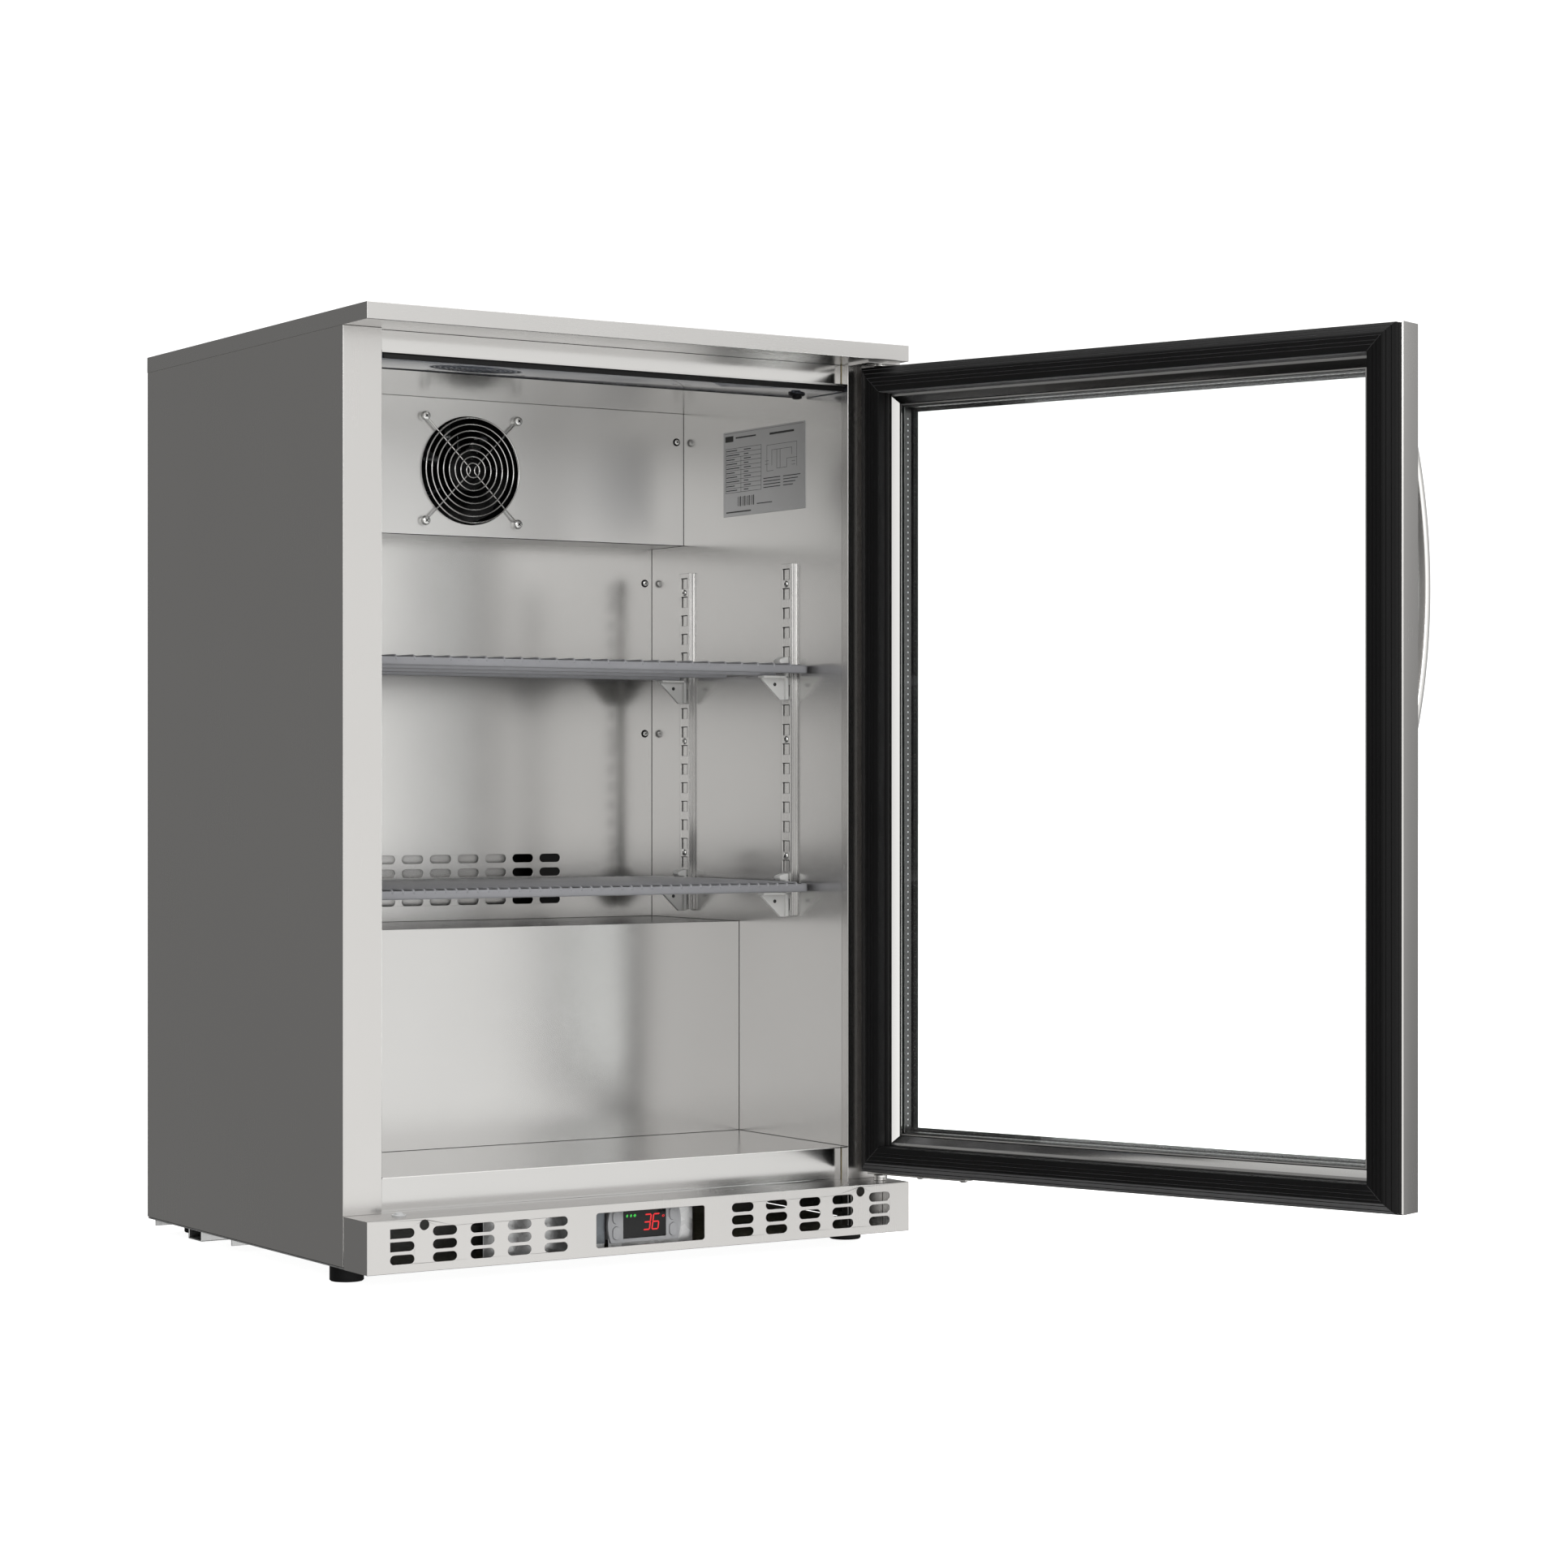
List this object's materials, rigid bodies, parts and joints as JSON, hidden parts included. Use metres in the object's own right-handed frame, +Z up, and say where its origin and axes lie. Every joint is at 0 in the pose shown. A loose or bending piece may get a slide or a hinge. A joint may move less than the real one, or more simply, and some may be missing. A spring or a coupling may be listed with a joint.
{
  "type": "undercounter refrigerator",
  "caption": "Free-standing undercounter refrigerator with a hinged glass door standing open, wire shelves, fan-cooled compartment, plinth grille and controller.",
  "frame": {"origin": "on the floor, under the middle of the cabinet's worktop", "axes": "+Z up, -Y out of the front opening, +X towards the door's hinge side"},
  "size_m": [0.8529, 1.0435, 0.9],
  "materials": {
    "stainless": "satin",
    "liner": "satin",
    "galvanised": "satin",
    "board": "matte",
    "foam": "matte",
    "black_plastic": "satin",
    "foot_plastic": "matte",
    "grey_plastic": "satin",
    "white_plastic": "satin",
    "clear_plastic": "gloss",
    "display": "gloss",
    "lamp_lens": "gloss",
    "aluminium": "satin",
    "wire": "polished",
    "screw": "polished",
    "shelf_coating": "satin",
    "label": "satin",
    "black_paint": "satin",
    "rubber": "matte",
    "gasket": "matte",
    "copper": "satin",
    "hinge_steel": "polished",
    "door_profile": "satin",
    "spacer": "satin",
    "glass": "gloss",
    "handle_steel": "satin"
  },
  "bodies": {
    "cabinet": {"back_duct_panel": "liner", "base_cross_rail": "galvanised", "base_pan": "galvanised", "breaker_strips": "liner", "cable_gland": "black_plastic", "compressor": "black_paint", "compressor_mounts": "rubber", "condenser_coil": "aluminium", "condenser_fan_housing": "galvanised", "controller_bezel": "grey_plastic", "controller_display": "display", "drip_tray": "black_plastic", "evaporator_coil": "aluminium", "evaporator_cover": "liner", "evaporator_fan_frame": "black_plastic", "fan_guard": "wire", "header_rail": "stainless", "hinge_brackets": "hinge_steel", "hinge_hole_plug": "clear_plastic", "insulation_foam": "foam", "interior_screws": "screw", "lamp_cover": "lamp_lens", "left_side_panel": "stainless", "liner_ceiling": "liner", "liner_floor": "liner", "liner_step": "liner", "liner_walls": "liner", "lower_shelf": "shelf_coating", "plinth_grille": "stainless", "rating_plate": "label", "rear_grille": "galvanised", "rear_panel": "galvanised", "refrigerant_pipes": "copper", "right_side_panel": "stainless", "shelf_clips": "white_plastic", "shelf_pilasters": "liner", "sill_rail": "stainless", "upper_shelf": "shelf_coating", "worktop": "stainless", "worktop_core": "board"},
    "door": {"door_frame": "stainless", "door_inner_frame": "door_profile", "door_gasket": "gasket", "glass_spacer": "spacer", "door_glass_inner": "glass", "door_glass_outer": "glass", "door_handle": "handle_steel", "hinge_bushes": "hinge_steel", "door_hinge_plate": "hinge_steel"},
    "button_up": {"button_up": "grey_plastic"},
    "button_down": {"button_down": "grey_plastic"},
    "button_set": {"button_set": "grey_plastic"},
    "button_standby": {"button_standby": "grey_plastic"},
    "lamp_switch": {"lamp_switch": "black_plastic"},
    "foot_front_left_body": {"foot_front_left": "foot_plastic"},
    "foot_front_right_body": {"foot_front_right": "foot_plastic"},
    "foot_rear_left_body": {"foot_rear_left": "foot_plastic"},
    "foot_rear_right_body": {"foot_rear_right": "foot_plastic"},
    "evaporator_fan": {"evaporator_fan_rotor": "black_plastic"},
    "condenser_fan": {"condenser_fan_rotor": "aluminium"}
  },
  "joints": [
    {"name": "door_hinge", "type": "hinge", "parent": "cabinet", "child": "door", "pos_m": [0.2845, -0.2265, 0], "axis": [0, 0, 1], "range_deg": [-110, 0]},
    {"name": "button_up_press", "type": "slide", "parent": "cabinet", "child": "button_up", "axis": [0, 1, 0], "range_m": [0, 0.0008], "stiffness_N_per_m": 500},
    {"name": "button_down_press", "type": "slide", "parent": "cabinet", "child": "button_down", "axis": [0, 1, 0], "range_m": [0, 0.0008], "stiffness_N_per_m": 500},
    {"name": "button_set_press", "type": "slide", "parent": "cabinet", "child": "button_set", "axis": [0, 1, 0], "range_m": [0, 0.0008], "stiffness_N_per_m": 500},
    {"name": "button_standby_press", "type": "slide", "parent": "cabinet", "child": "button_standby", "axis": [0, 1, 0], "range_m": [0, 0.0008], "stiffness_N_per_m": 500},
    {"name": "lamp_switch_press", "type": "slide", "parent": "cabinet", "child": "lamp_switch", "axis": [0, 0, 1], "range_m": [0, 0.0015], "stiffness_N_per_m": 300},
    {"name": "evaporator_fan_spin", "type": "hinge", "parent": "cabinet", "child": "evaporator_fan", "pos_m": [0, 0.13, 0.7877], "axis": [0, 1, 0], "continuous": true},
    {"name": "condenser_fan_spin", "type": "hinge", "parent": "cabinet", "child": "condenser_fan", "pos_m": [0.1, 0.16, 0.1], "axis": [0, 1, 0], "continuous": true},
    {"name": "foot_front_left_screw", "type": "slide", "parent": "cabinet", "child": "foot_front_left_body", "axis": [0, 0, -1], "range_m": [0, 0.012]},
    {"name": "foot_front_right_screw", "type": "slide", "parent": "cabinet", "child": "foot_front_right_body", "axis": [0, 0, -1], "range_m": [0, 0.012]},
    {"name": "foot_rear_left_screw", "type": "slide", "parent": "cabinet", "child": "foot_rear_left_body", "axis": [0, 0, -1], "range_m": [0, 0.012]},
    {"name": "foot_rear_right_screw", "type": "slide", "parent": "cabinet", "child": "foot_rear_right_body", "axis": [0, 0, -1], "range_m": [0, 0.012]}
  ]
}
